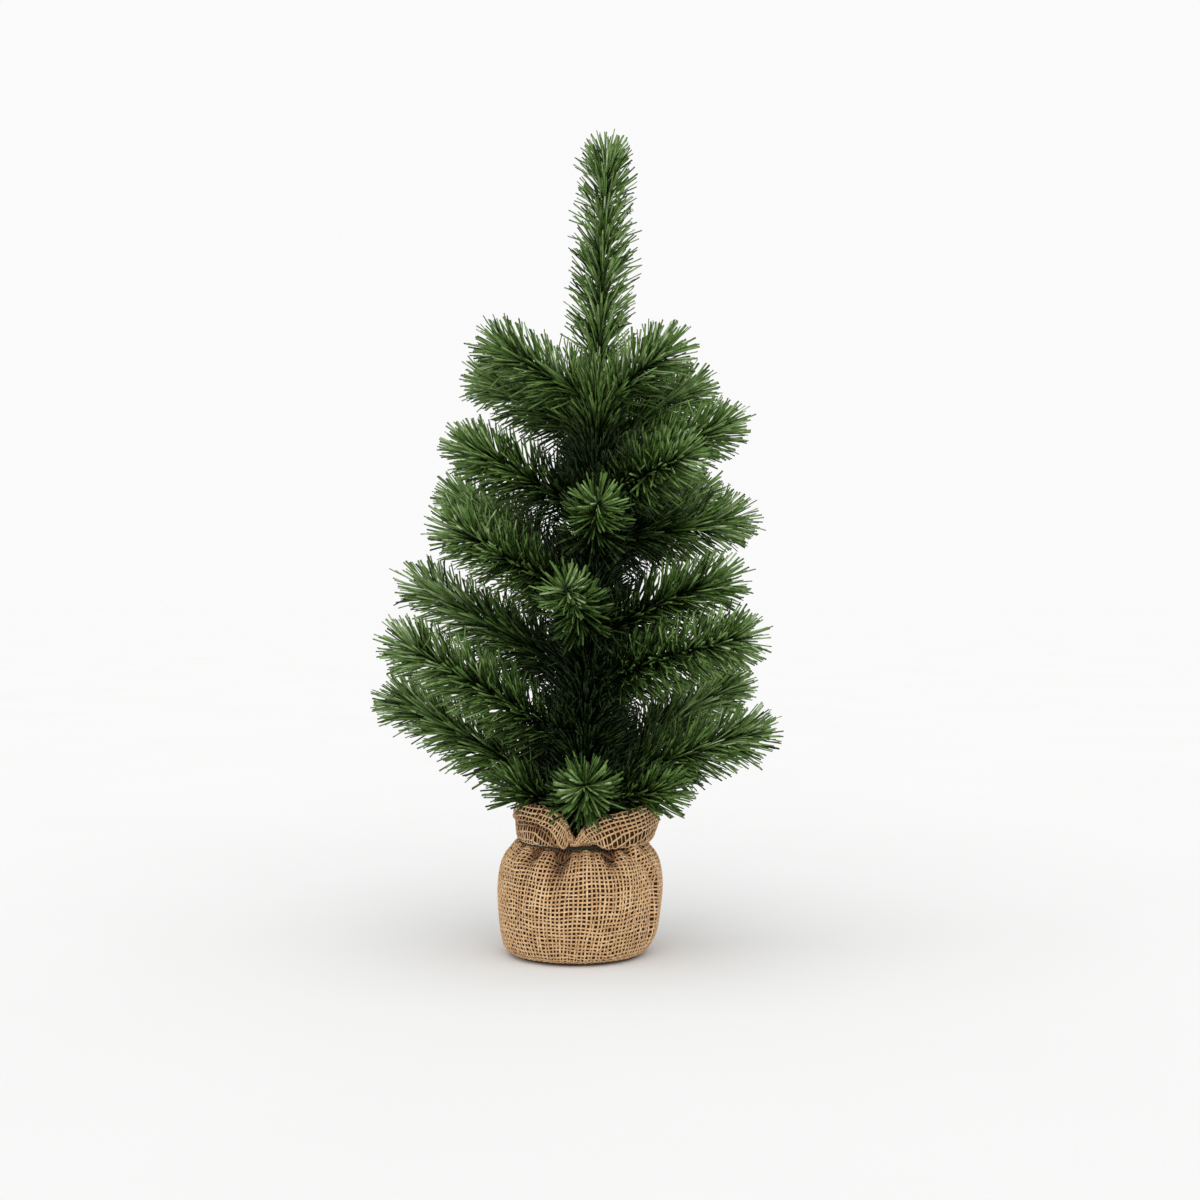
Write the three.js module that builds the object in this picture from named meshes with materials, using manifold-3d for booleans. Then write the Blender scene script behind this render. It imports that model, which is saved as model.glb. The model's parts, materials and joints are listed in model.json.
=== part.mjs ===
// Artificial tabletop tree: a weighted pot wrapped in a tied burlap sack, a taped steel trunk,
// and wire branches covered in soft plastic needles. Each branch bends at its root, where its
// wire leaves the trunk, and so does the leader at the top of the trunk.
// Millimetres, +Z up. The origin is the centre of the face that the tree stands on, the front
// of the tree looks along -Y, and headings are in degrees from +X, turning towards +Y.
import * as THREE from "three";
import { mergeVertices } from "three/addons/utils/BufferGeometryUtils.js";
import Module from "manifold-3d";

const wasm = await Module();
wasm.setup();

// Driving dimensions.
const GAP = 0.4; // air left between pieces that touch
const ROUND = 32; // facets round the base pieces

const DISC_RADIUS = 45;
const DISC_THICKNESS = 1.2;
const CLOTH = 1.8; // thickness of the burlap with its folds
const NECK_LOW = 80.5;
const NECK_HIGH = 84.5;
const NECK_RADIUS = 41;
const TIE_RADIUS = 1.3;
const COLLAR_RISE = 23; // height of the collar above the neck, all round the back
const COLLAR_FLARE = 13.5; // how far its rim stands out from the neck
const NOTCH = THREE.MathUtils.degToRad(265); // heading of the low notch in the collar's rim
const NOTCH_RISE = 0.5; // height of the rim there
const LEFT_SLOPE = 31; // rise of the rim to the left of the notch, over one collar radius
const RIGHT_SLOPE = 22.5;

const POT_BOTTOM_RADIUS = 43.5;
const POT_FOOT_RADIUS = 49.5; // at the top of the pot's bevelled foot
const POT_FOOT_HEIGHT = 8;
const POT_TOP_RADIUS = 51.4;
const POT_HEIGHT = 62;
const POT_WALL = 1.5;
const CEMENT_DEPTH = 56;

const LEAN = THREE.MathUtils.degToRad(2.1); // the trunk leans towards +X
const TRUNK_FOOT = 14; // height of the trunk's lower end, inside the cement
const TRUNK_TOP = 430;
const ROD_RADIUS = 2.4;
const TAPE_RADIUS = 3.8;

const LEADER_START = 434;
const LEADER_LENGTH = 166; // to the tips of its needles
const LEADER_BRUSH_RADIUS = 15;

const WIRE_RADIUS = 1.1; // two thin strands twisted together
const WIRE_SIDES = 6;
const WIRE_STEPS = 8;
const WIRE_SHORT_OF_TIP = 12; // the needles reach past the end of the wire
const ROOT_OFFSET = TAPE_RADIUS + WIRE_RADIUS + GAP + 0.1; // from the trunk's centre line
const BRUSH_START = 15; // bare wire between the root and the needles
const BRUSH_RADIUS = 10.5;
const BRUSH_SIDES = 8;

// Branches from the lowest to the highest. root: height on the trunk. rise: angle of the chord
// above level. length: along the wire to the needle tips. bend: turn of the wire from root to
// tip, negative where it flattens outwards.
const BRANCHES = [
  { root: 101, heading: 208, rise: 22, length: 78, bend: -8 },
  { root: 101, heading: 272, rise: 20, length: 110, bend: -10 },
  { root: 105, heading: 330, rise: 15, length: 86, bend: -8 },
  { root: 110, heading: 170, rise: 29, length: 173, bend: -4 },
  { root: 115, heading: 354, rise: 21, length: 147, bend: -12 },
  { root: 120, heading: 38, rise: 26, length: 176, bend: -15 },
  { root: 150, heading: 84, rise: 27, length: 145, bend: -10 },
  { root: 150, heading: 200, rise: 30, length: 170, bend: -8 },
  { root: 195, heading: 324, rise: 15, length: 152, bend: -14 },
  { root: 205, heading: 160, rise: 27, length: 164, bend: 8 },
  { root: 228, heading: 338, rise: 22, length: 127, bend: -22 },
  { root: 234, heading: 260, rise: 20, length: 112, bend: -10 },
  { root: 258, heading: 210, rise: 27, length: 137, bend: 8 },
  { root: 265, heading: 142, rise: 30, length: 166, bend: -4 },
  { root: 288, heading: 50, rise: 22, length: 158, bend: -12 },
  { root: 300, heading: 273, rise: 17, length: 100, bend: -10 },
  { root: 303, heading: 4, rise: 9, length: 120, bend: 10 },
  { root: 322, heading: 194, rise: 27, length: 119, bend: -5 },
  { root: 328, heading: 312, rise: 17, length: 112, bend: -12 },
  { root: 338, heading: 92, rise: 27, length: 108, bend: -12 },
  { root: 346, heading: 350, rise: 22, length: 115, bend: -6 },
  { root: 362, heading: 30, rise: 33, length: 118, bend: -22 },
  { root: 378, heading: 150, rise: 26, length: 122, bend: -14 },
  { root: 397, heading: 338, rise: 36, length: 86, bend: -22 },
  { root: 402, heading: 187, rise: 29, length: 100, bend: -10 },
];

const MATERIALS = {
  needles: material(0x2f5a2c, 0.55, 0),
  wire: material(0x3b4236, 0.5, 0.7),
  steel: material(0x6d6f6c, 0.45, 0.9),
  tape: material(0x24401f, 0.6, 0),
  burlap: material(0xb98a57, 0.95, 0),
  tie: material(0x1c3318, 0.7, 0),
  plastic: material(0x3a2415, 0.5, 0),
  cement: material(0x9c978d, 0.95, 0),
  felt: material(0x6e4f30, 0.95, 0),
};

const tree = new THREE.Group();

function material(color, roughness, metalness) {
  return new THREE.MeshStandardMaterial({ color, roughness, metalness });
}

function addPiece(parent, name, geometry, finish) {
  const mesh = new THREE.Mesh(geometry, MATERIALS[finish]);
  mesh.name = name;
  parent.add(mesh);
  return mesh;
}

// A turned solid about +Z from [radius, height] points that run from axis to axis.
function turned(points, sides) {
  const profile = points.map(([radius, height]) => new THREE.Vector2(radius, height));
  const geometry = new THREE.LatheGeometry(profile, sides);
  return welded(geometry.rotateX(Math.PI / 2));
}

function welded(geometry) {
  geometry.deleteAttribute("normal");
  geometry.deleteAttribute("uv");
  return mergeVertices(geometry, 1e-4);
}

function moveVertices(geometry, place) {
  const position = geometry.getAttribute("position");
  const point = new THREE.Vector3();
  for (let i = 0; i < position.count; i += 1) {
    point.fromBufferAttribute(position, i);
    const moved = place(point);
    position.setXYZ(i, moved.x, moved.y, moved.z);
  }
  return geometry;
}

// The trunk's centre line is straight and leans towards +X.
function trunkPoint(height) {
  return new THREE.Vector3(height * Math.tan(LEAN), 0, height);
}

function leanWithTrunk(geometry) {
  return moveVertices(geometry, (point) => {
    const shift = trunkPoint(point.z);
    return new THREE.Vector3(point.x + shift.x, point.y, point.z);
  });
}

function toManifold(geometry) {
  const vertProperties = new Float32Array(geometry.getAttribute("position").array);
  const triVerts = new Uint32Array(geometry.index.array);
  return new wasm.Manifold(new wasm.Mesh({ numProp: 3, vertProperties, triVerts }));
}

function fromManifold(solid) {
  const mesh = solid.getMesh();
  const geometry = new THREE.BufferGeometry();
  geometry.setAttribute("position", new THREE.BufferAttribute(mesh.vertProperties, 3));
  geometry.setIndex(new THREE.BufferAttribute(mesh.triVerts, 1));
  return geometry;
}

// A stiff disc of felt under the sack, which the whole tree stands on.
function baseDisc() {
  return turned([[0, 0], [DISC_RADIUS, 0], [DISC_RADIUS, DISC_THICKNESS], [0, DISC_THICKNESS]], ROUND);
}

// Height of the collar's rim above the neck: a V with straight sides seen from the front, and
// level round the back.
function collarRise(heading) {
  const across = Math.cos(heading) - Math.cos(NOTCH);
  const slope = across > 0 ? RIGHT_SLOPE : LEFT_SLOPE;
  const front = Math.min(NOTCH_RISE + slope * Math.abs(across), COLLAR_RISE);
  const turnedToBack = THREE.MathUtils.smoothstep(Math.sin(heading), -0.3, 0.3);
  return THREE.MathUtils.lerp(front, COLLAR_RISE, turnedToBack);
}

// One cloth: under the pot, up round it, in to the neck, and out into the open collar.
function burlapSack() {
  const bottom = DISC_THICKNESS + GAP;
  const outside = [
    [0, bottom],
    [44, bottom],
    [50, bottom + 2.4],
    [54.9, 12],
    [57.6, 26],
    [59.4, 46],
    [58.4, 60],
    [55, 70],
    [49.5, 76.5],
    [NECK_RADIUS, NECK_LOW],
    [NECK_RADIUS, NECK_HIGH],
    [NECK_RADIUS + 0.6 * COLLAR_FLARE, NECK_HIGH + 0.4 * COLLAR_RISE],
    [NECK_RADIUS + COLLAR_FLARE, NECK_HIGH + COLLAR_RISE],
  ];
  const inside = outside.map(([radius, height]) => [
    Math.max(0, radius - CLOTH),
    Math.max(height, bottom + CLOTH),
  ]);
  inside[1][0] = outside[1][0] - CLOTH;
  const sack = turned([...outside, ...inside.reverse()], ROUND);
  moveVertices(sack, (point) => {
    if (point.z <= NECK_HIGH) {
      return point;
    }
    const share = (point.z - NECK_HIGH) / COLLAR_RISE;
    const heading = Math.atan2(point.y, point.x);
    const height = NECK_HIGH + share * collarRise(heading);
    const wider = 1 + 0.05 * share * Math.cos(heading);
    return new THREE.Vector3(point.x * wider, point.y * wider, height);
  });
  return leanWithTrunk(sack);
}

// The twine that closes the neck, in the groove under the collar.
function neckTie() {
  const middle = (NECK_LOW + NECK_HIGH) / 2;
  const ring = NECK_RADIUS + TIE_RADIUS + GAP;
  const sides = 8;
  const points = [];
  for (let i = 0; i <= sides; i += 1) {
    const angle = (i / sides) * 2 * Math.PI;
    points.push([ring + TIE_RADIUS * Math.cos(angle), middle + TIE_RADIUS * Math.sin(angle)]);
  }
  return leanWithTrunk(turned(points, ROUND));
}

function potFloor() {
  return DISC_THICKNESS + GAP + CLOTH + GAP;
}

function potRadius(aboveFloor) {
  const { lerp } = THREE.MathUtils;
  if (aboveFloor < POT_FOOT_HEIGHT) {
    return lerp(POT_BOTTOM_RADIUS, POT_FOOT_RADIUS, aboveFloor / POT_FOOT_HEIGHT);
  }
  const share = (aboveFloor - POT_FOOT_HEIGHT) / (POT_HEIGHT - POT_FOOT_HEIGHT);
  return lerp(POT_FOOT_RADIUS, POT_TOP_RADIUS, share);
}

// A thin tapered cup with a bevelled foot, open at the top.
function plasticPot() {
  const floor = potFloor();
  return turned(
    [
      [0, floor],
      [POT_BOTTOM_RADIUS, floor],
      [POT_FOOT_RADIUS, floor + POT_FOOT_HEIGHT],
      [POT_TOP_RADIUS, floor + POT_HEIGHT],
      [POT_TOP_RADIUS - POT_WALL, floor + POT_HEIGHT],
      [POT_FOOT_RADIUS - POT_WALL, floor + POT_FOOT_HEIGHT],
      [potRadius(POT_WALL) - POT_WALL, floor + POT_WALL],
      [0, floor + POT_WALL],
    ],
    ROUND,
  );
}

// The trunk's rod, or a hole for it when grown by some clearance.
function trunkRod(clearance) {
  const radius = ROD_RADIUS + clearance;
  const foot = TRUNK_FOOT - clearance;
  return leanWithTrunk(turned([[0, foot], [radius, foot], [radius, TRUNK_TOP], [0, TRUNK_TOP]], 12));
}

// Cement cast in the pot round the foot of the trunk.
function cementWeight() {
  const inset = POT_WALL + GAP;
  const low = potFloor() + inset;
  const high = low + CEMENT_DEPTH;
  const block = turned(
    [
      [0, low],
      [potRadius(inset) - inset, low],
      [POT_FOOT_RADIUS - inset, potFloor() + POT_FOOT_HEIGHT],
      [potRadius(inset + CEMENT_DEPTH) - inset, high],
      [0, high],
    ],
    ROUND,
  );
  return fromManifold(toManifold(block).subtract(toManifold(trunkRod(GAP))));
}

// Green tape wound round the rod, from just above the cement to the top of the trunk.
function trunkTape() {
  const low = potFloor() + POT_WALL + CEMENT_DEPTH + 3;
  const bore = ROD_RADIUS + GAP;
  const high = TRUNK_TOP;
  return leanWithTrunk(
    turned([[bore, low], [TAPE_RADIUS, low], [TAPE_RADIUS, high], [bore, high], [bore, low]], 12),
  );
}

// Places a straight solid along +Z onto an arc in the XZ plane that starts at the origin.
// start and turn are angles above level: at the root, and the change over the whole length.
function bentAlongArc(geometry, start, turn, length) {
  const perLength = turn / length;
  return moveVertices(geometry, (point) => {
    const angle = start + perLength * point.z;
    const along = new THREE.Vector3(
      (Math.sin(angle) - Math.sin(start)) / perLength,
      0,
      (Math.cos(start) - Math.cos(angle)) / perLength,
    );
    const across = new THREE.Vector3(-Math.sin(angle), 0, Math.cos(angle));
    return along.addScaledVector(across, -point.x).add(new THREE.Vector3(0, point.y, 0));
  });
}

function wireProfile(length) {
  const points = [[0, 0]];
  for (let i = 0; i <= WIRE_STEPS; i += 1) {
    points.push([WIRE_RADIUS, (length * i) / WIRE_STEPS]);
  }
  points.push([0, length]);
  return points;
}

// The bush of needles as one slim body, bored so that the wire runs through it.
function brushProfile(start, length, radius) {
  const bore = WIRE_RADIUS + GAP;
  const shoulder = start + 18;
  const end = length - WIRE_SHORT_OF_TIP;
  const points = [[0, end + GAP], [bore, end + GAP]];
  const steps = 5;
  for (let i = 1; i <= steps; i += 1) {
    points.push([bore, THREE.MathUtils.lerp(end, start, i / steps)]);
  }
  points.push([0.45 * radius, start]);
  for (let i = 0; i <= steps; i += 1) {
    points.push([radius, THREE.MathUtils.lerp(shoulder, end, i / steps)]);
  }
  points.push([0.6 * radius, length - 2], [0, length]);
  return points;
}

// A branch in its own frame: it starts at the root and runs out along +X while it rises.
function addBranch(branch, number) {
  const name = `branch_${String(number).padStart(2, "0")}`;
  const turn = THREE.MathUtils.degToRad(branch.bend);
  const start = THREE.MathUtils.degToRad(branch.rise) - turn / 2;
  const heading = THREE.MathUtils.degToRad(branch.heading);
  const group = new THREE.Group();
  group.position.copy(trunkPoint(branch.root));
  group.rotation.z = heading;
  const outwards = new THREE.Group();
  outwards.position.x = ROOT_OFFSET;
  group.add(outwards);
  const wire = turned(wireProfile(branch.length - WIRE_SHORT_OF_TIP), WIRE_SIDES);
  const brush = turned(brushProfile(BRUSH_START, branch.length, BRUSH_RADIUS), BRUSH_SIDES);
  addPiece(outwards, `${name}_wire`, bentAlongArc(wire, start, turn, branch.length), "wire");
  addPiece(outwards, `${name}_needles`, bentAlongArc(brush, start, turn, branch.length), "needles");
  tree.add(group);
}

// The leader carries the trunk's line on upwards and stands on its top.
function addLeader() {
  const group = new THREE.Group();
  group.position.copy(trunkPoint(LEADER_START));
  group.rotation.y = LEAN;
  const wire = turned(wireProfile(LEADER_LENGTH - WIRE_SHORT_OF_TIP), WIRE_SIDES);
  const brush = turned(brushProfile(6, LEADER_LENGTH, LEADER_BRUSH_RADIUS), BRUSH_SIDES);
  addPiece(group, "leader_wire", wire, "wire");
  addPiece(group, "leader_needles", brush, "needles");
  tree.add(group);
}

addPiece(tree, "base_disc", baseDisc(), "felt");
addPiece(tree, "burlap_sack", burlapSack(), "burlap");
addPiece(tree, "neck_tie", neckTie(), "tie");
addPiece(tree, "plastic_pot", plasticPot(), "plastic");
addPiece(tree, "cement_weight", cementWeight(), "cement");
addPiece(tree, "trunk_rod", trunkRod(0), "steel");
addPiece(tree, "trunk_tape", trunkTape(), "tape");
addLeader();
BRANCHES.forEach((branch, index) => addBranch(branch, index + 1));

export default tree;
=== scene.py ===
import json
import math

import bpy
import numpy as np
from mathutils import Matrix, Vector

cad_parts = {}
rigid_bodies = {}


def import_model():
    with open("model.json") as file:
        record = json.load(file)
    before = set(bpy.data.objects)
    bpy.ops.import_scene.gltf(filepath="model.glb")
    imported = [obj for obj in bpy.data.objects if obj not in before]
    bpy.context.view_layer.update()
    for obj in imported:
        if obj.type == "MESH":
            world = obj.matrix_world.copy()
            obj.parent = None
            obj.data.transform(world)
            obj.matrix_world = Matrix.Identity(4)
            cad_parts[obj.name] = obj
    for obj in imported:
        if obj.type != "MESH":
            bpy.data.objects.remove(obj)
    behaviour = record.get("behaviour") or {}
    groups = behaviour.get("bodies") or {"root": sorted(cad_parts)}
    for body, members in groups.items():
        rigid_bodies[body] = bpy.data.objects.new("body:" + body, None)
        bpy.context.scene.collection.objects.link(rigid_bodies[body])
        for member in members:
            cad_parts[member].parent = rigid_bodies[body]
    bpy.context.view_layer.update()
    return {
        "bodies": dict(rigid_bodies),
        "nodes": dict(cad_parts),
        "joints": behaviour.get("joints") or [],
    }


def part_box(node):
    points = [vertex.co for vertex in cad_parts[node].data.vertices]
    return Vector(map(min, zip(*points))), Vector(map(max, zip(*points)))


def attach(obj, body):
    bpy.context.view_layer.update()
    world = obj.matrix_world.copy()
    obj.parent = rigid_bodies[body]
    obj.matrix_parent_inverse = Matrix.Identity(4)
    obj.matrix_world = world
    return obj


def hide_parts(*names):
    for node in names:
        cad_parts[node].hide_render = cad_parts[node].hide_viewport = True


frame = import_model()

MM = 0.001
JOINTS = {joint["child"]: joint for joint in frame["joints"]}
ROOT_BODY = "base_and_trunk"

# Needles: thin strips cut from PVC sheet and caught between the two strands of the wire.
NEEDLE_LENGTH = 31 * MM
NEEDLE_WIDTH = 1.5 * MM
NEEDLE_DEPTH = 0.75 * MM
NEEDLE_STEPS = 3
NEEDLE_SECTION = [(-0.5, -0.35), (0.5, -0.35), (0.0, 0.65)]  # corners, in widths and depths
NEEDLE_TAPER = [0.8, 1.0, 1.0, 0.85]  # size at each ring, from root to tip
TWIST_PITCH = 9 * MM  # of the rows of needles round the wire
NEAR_TIP = 55 * MM  # the stretch before the wire's tip where needles thin out
PAST_THE_WIRE = 12 * MM  # how far needles reach past the wire's tip
TIP_RADIUS = 22 * MM  # the round end of a brush
TIP_LENGTH = 28 * MM

# Each brush: needles per millimetre of wire, their mean angles off it at root and tip, their
# lengths there in needle lengths, and how dense they are at the tip.
SIDE_BRUSH = (6.5, (1.0, 0.8), (1.2, 1.0), 0.5)
FORWARD_BRUSH = (3.6, (1.0, 0.8), (1.2, 0.85), 0.35)
LEADER_BRUSH = (5.0, (0.85, 0.92), (1.08, 0.84), 0.8)
TRUNK_BRUSH = (10, (1.1, 0.8), (1.5, 1.1), 0.8)
BRANCH_BARE = 7 * MM  # wire without needles next to the trunk
LEADER_BELOW = 6 * MM  # the leader's needles start this far below its root
TRUNK_BARE = 22 * MM

# The strands of the twisted wires, and the length of one full twist.
BRANCH_STRAND, BRANCH_TWIST = 1.05 * MM, 7 * MM
LEADER_STRAND, LEADER_TWIST = 1.4 * MM, 10 * MM

# Painted shade inside the crown: needles are painted darker near the trunk, fully within the inner radius and
# not at all past the outer one.
INNER_RADIUS = 32 * MM
OUTER_RADIUS = 98 * MM
DEEP_SHADE = 0.03
CROWN_TOP = 430 * MM
CROWN_FADE = 60 * MM

# Burlap: an open plain weave, with a thin brown sheet inside it, made dark as painted shade behind the weave.
THREAD_PITCH = 2.9 * MM
THREAD_WIDTH = 1.42 * MM
THREAD_DEPTH = 0.75 * MM
THREAD_SIDES = 5
RINGS_PER_CROSSING = 3
WEAVE_LIFT = 0.33 * MM
PROFILE_STEP = 0.5 * MM
LINING_GAP = 1.5 * MM
LINING_THICKNESS = 0.3 * MM


# ---------------------------------------------------------------- meshes

def unit(vectors):
    return vectors / np.maximum(np.linalg.norm(vectors, axis=-1, keepdims=True), 1e-12)


def closed_tubes(centres, across, section):
    """Vertices and faces of capped tubes. centres is (tubes, rings, 3), across a direction for
    the section's first axis, and section is (sides, 2) or (tubes, rings, sides, 2)."""
    tangent = unit(np.gradient(centres, axis=1))
    across = unit(across - tangent * np.sum(across * tangent, axis=2, keepdims=True))
    up = np.cross(tangent, across)
    section = np.broadcast_to(section, centres.shape[:2] + section.shape[-2:])
    points = (
        centres[:, :, None]
        + across[:, :, None] * section[..., 0, None]
        + up[:, :, None] * section[..., 1, None]
    )
    tubes, rings, sides = points.shape[:3]
    first = np.arange(tubes)[:, None, None] * rings * sides
    ring = np.arange(rings - 1)[None, :, None] * sides
    side = np.arange(sides)[None, None, :]
    following = (side + 1) % sides
    quads = np.stack(
        [
            first + ring + side,
            first + ring + following,
            first + ring + sides + following,
            first + ring + sides + side,
        ],
        axis=3,
    ).reshape(-1, 4)
    starts = (first[:, 0] + np.arange(sides)[::-1][None]).reshape(-1, sides)
    root_shade_and_tip_tint = (first[:, 0] + (rings - 1) * sides + np.arange(sides)[None]).reshape(-1, sides)
    return points.reshape(-1, 3), [quads, starts, root_shade_and_tip_tint]


def surface_grid(points):
    """Vertices and faces of a (rows, columns, 3) grid of points, closed round its columns."""
    rows, columns = points.shape[:2]
    row = np.arange(rows - 1)[:, None] * columns
    column = np.arange(columns)[None]
    following = (column + 1) % columns
    quads = np.stack(
        [row + column, row + following, row + columns + following, row + columns + column],
        axis=2,
    )
    return points.reshape(-1, 3), [quads.reshape(-1, 4)]


def new_piece(name, points, faces, material, slot, **attributes):
    """A mesh object from a vertex array and a list of face arrays, each of one size."""
    mesh = bpy.data.meshes.new(name)
    loops = np.concatenate([group.ravel() for group in faces]).astype(np.int32)
    totals = np.concatenate([np.full(len(group), group.shape[1]) for group in faces])
    starts = np.concatenate([[0], np.cumsum(totals)[:-1]])
    mesh.vertices.add(len(points))
    mesh.vertices.foreach_set("co", np.asarray(points, np.float32).ravel())
    mesh.loops.add(len(loops))
    mesh.loops.foreach_set("vertex_index", loops)
    mesh.polygons.add(len(totals))
    mesh.polygons.foreach_set("loop_start", starts.astype(np.int32))
    mesh.polygons.foreach_set("loop_total", totals.astype(np.int32))
    mesh.polygons.foreach_set("use_smooth", np.full(len(totals), True))
    for key, values in attributes.items():
        layer = mesh.attributes.new(key, "FLOAT", "POINT")
        layer.data.foreach_set("value", np.asarray(values, np.float32).ravel())
    mesh.update(calc_edges=True)
    mesh.materials.append(material)
    piece = bpy.data.objects.new(name, mesh)
    bpy.context.scene.collection.objects.link(piece)
    return piece


def joined(parts):
    """Several (points, faces) as one, for faces in groups of the same sizes."""
    points = np.concatenate([part[0] for part in parts])
    offsets = np.cumsum([0] + [len(part[0]) for part in parts[:-1]])
    groups = {}
    for (_, faces), offset in zip(parts, offsets):
        for group in faces:
            groups.setdefault(group.shape[1], []).append(group + offset)
    return points, [np.concatenate(group) for group in groups.values()]


def smooth_noise(rng, shape, steps):
    """Smooth random values near -1 to 1 along the last axis, with a new one every few steps."""
    count = int(math.ceil(shape[-1] / steps)) + 3
    knots = rng.uniform(-1, 1, shape[:-1] + (count,))
    place = np.arange(shape[-1]) / steps
    low = place.astype(int)
    share = place - low
    share = share * share * (3 - 2 * share)
    return knots[..., low] * (1 - share) + knots[..., low + 1] * share


def ellipse(width, depth, sides):
    angles = np.arange(sides) / sides * 2 * math.pi
    return np.stack([0.5 * width * np.cos(angles), 0.5 * depth * np.sin(angles)], axis=1)


# ---------------------------------------------------------------- materials

class Nodes:
    """Short calls for building one procedural material."""

    def __init__(self, name, roughness, **inputs):
        self.material = bpy.data.materials.new(name)
        self.material.use_nodes = True
        self.tree = self.material.node_tree
        self.shader = self.tree.nodes["Principled BSDF"]
        self.shader.inputs["Roughness"].default_value = roughness
        for key, value in inputs.items():
            self.shader.inputs[key.replace("_", " ")].default_value = value

    def node(self, kind, inputs=None, **settings):
        node = self.tree.nodes.new(kind)
        for key, value in settings.items():
            setattr(node, key, value)
        for key, value in (inputs or {}).items():
            if isinstance(value, bpy.types.NodeSocket):
                self.tree.links.new(value, node.inputs[key])
            else:
                node.inputs[key].default_value = value
        return node

    def attribute(self, name):
        return self.node("ShaderNodeAttribute", attribute_name=name).outputs["Fac"]

    def position(self):
        return self.node("ShaderNodeTexCoord").outputs["Object"]

    def noise(self, scale, detail=3, roughness=0.55, vector=None):
        inputs = {"Vector": vector or self.position(), "Scale": scale}
        inputs.update({"Detail": detail, "Roughness": roughness})
        return self.node("ShaderNodeTexNoise", inputs).outputs["Fac"]

    def maths(self, operation, first, second):
        return self.node("ShaderNodeMath", {0: first, 1: second}, operation=operation).outputs[0]

    def remap(self, value, low, high, out_low, out_high):
        inputs = {"Value": value, "From Min": low, "From Max": high}
        inputs.update({"To Min": out_low, "To Max": out_high})
        return self.node("ShaderNodeMapRange", inputs).outputs[0]

    def ramp(self, value, stops):
        node = self.node("ShaderNodeValToRGB", {"Fac": value})
        elements = node.color_ramp.elements
        for place, colour in stops[1:-1]:
            elements.new(place).color = (*colour, 1)
        elements[0].position, elements[0].color = stops[0][0], (*stops[0][1], 1)
        elements[-1].position, elements[-1].color = stops[-1][0], (*stops[-1][1], 1)
        return node.outputs["Color"]

    def mix(self, share, first, second, blend="MIX"):
        node = self.node("ShaderNodeMix", data_type="RGBA", blend_type=blend)
        for index, value in ((0, share), (6, first), (7, second)):
            if isinstance(value, bpy.types.NodeSocket):
                self.tree.links.new(value, node.inputs[index])
            elif index == 0:
                node.inputs[index].default_value = value
            else:
                node.inputs[index].default_value = (*value, 1)
        return node.outputs[2]

    def bump(self, height, distance, strength=1.0):
        inputs = {"Height": height, "Distance": distance, "Strength": strength}
        self.link(self.node("ShaderNodeBump", inputs).outputs["Normal"], "Normal")

    def link(self, value, socket):
        self.tree.links.new(value, self.shader.inputs[socket])


def needle_material():
    """Green PVC strip: each needle has its own tone, which carries the crown's painted shade, with painted
    shade at the root and darker at the cut tip.
    """
    nodes = Nodes("needle_pvc", 0.5, Specular_IOR_Level=0.2)
    speckle = nodes.noise(260, 3)
    shade = nodes.maths("ADD", nodes.attribute("shade"), nodes.remap(speckle, 0.3, 0.7, -0.14, 0.14))
    green = nodes.ramp(
        shade,
        [
            (0.0, (0.004, 0.012, 0.001)),
            (0.15, (0.028, 0.060, 0.008)),
            (0.45, (0.118, 0.225, 0.045)),
            (0.8, (0.240, 0.365, 0.130)),
            (1.0, (0.440, 0.560, 0.320)),
        ],
    )
    # Painted shade at each needle's root, where the other needles shadow it; the cut tip is darker too.
    root_shade_and_tip_tint = nodes.ramp(
        nodes.attribute("along"),
        [(0.0, (0.16, 0.18, 0.14)), (0.45, (1, 1, 1)), (0.9, (1, 1, 1)), (1.0, (0.6, 0.58, 0.5))],
    )
    nodes.link(nodes.mix(1.0, green, root_shade_and_tip_tint, "MULTIPLY"), "Base Color")
    nodes.link(nodes.remap(nodes.noise(500, 2), 0.3, 0.7, 0.44, 0.58), "Roughness")
    nodes.bump(nodes.noise(900, 2), 0.00008)
    return nodes.material


def burlap_material():
    """Jute: straw to brown, each thread its own tone, with fibres running along it; the attribute also
    carries painted shade in the gathers, on the turned-in hem and under the left cuff.
    """
    nodes = Nodes("jute_burlap", 0.92, Sheen_Weight=0.15, Sheen_Roughness=0.5)
    fibres = nodes.noise(1400, 4, 0.65)
    patches = nodes.noise(90, 3)
    shade = nodes.maths("ADD", nodes.attribute("shade"), nodes.remap(fibres, 0.3, 0.7, -0.3, 0.3))
    shade = nodes.maths("ADD", shade, nodes.remap(patches, 0.3, 0.7, -0.1, 0.1))
    jute = nodes.ramp(
        shade,
        [
            (0.0, (0.150, 0.065, 0.022)),
            (0.4, (0.500, 0.285, 0.125)),
            (0.75, (0.780, 0.520, 0.275)),
            (1.0, (0.930, 0.730, 0.480)),
        ],
    )
    nodes.link(jute, "Base Color")
    nodes.bump(fibres, 0.0003, 0.8)
    return nodes.material


def wire_material():
    nodes = Nodes("green_wire", 0.38, Metallic=0.3)
    wear = nodes.noise(700, 3)
    colour = nodes.ramp(wear, [(0.35, (0.018, 0.045, 0.014)), (0.7, (0.045, 0.07, 0.032))])
    nodes.link(colour, "Base Color")
    nodes.link(nodes.remap(wear, 0.3, 0.7, 0.3, 0.5), "Roughness")
    nodes.bump(wear, 0.00005)
    return nodes.material


def tape_material():
    nodes = Nodes("trunk_tape_pvc", 0.5)
    cloud = nodes.noise(160, 4)
    nodes.link(nodes.ramp(cloud, [(0.3, (0.012, 0.035, 0.010)), (0.7, (0.03, 0.07, 0.024))]), "Base Color")
    nodes.link(nodes.remap(cloud, 0.3, 0.7, 0.4, 0.62), "Roughness")
    nodes.bump(nodes.noise(420, 4), 0.0002)
    return nodes.material


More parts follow.
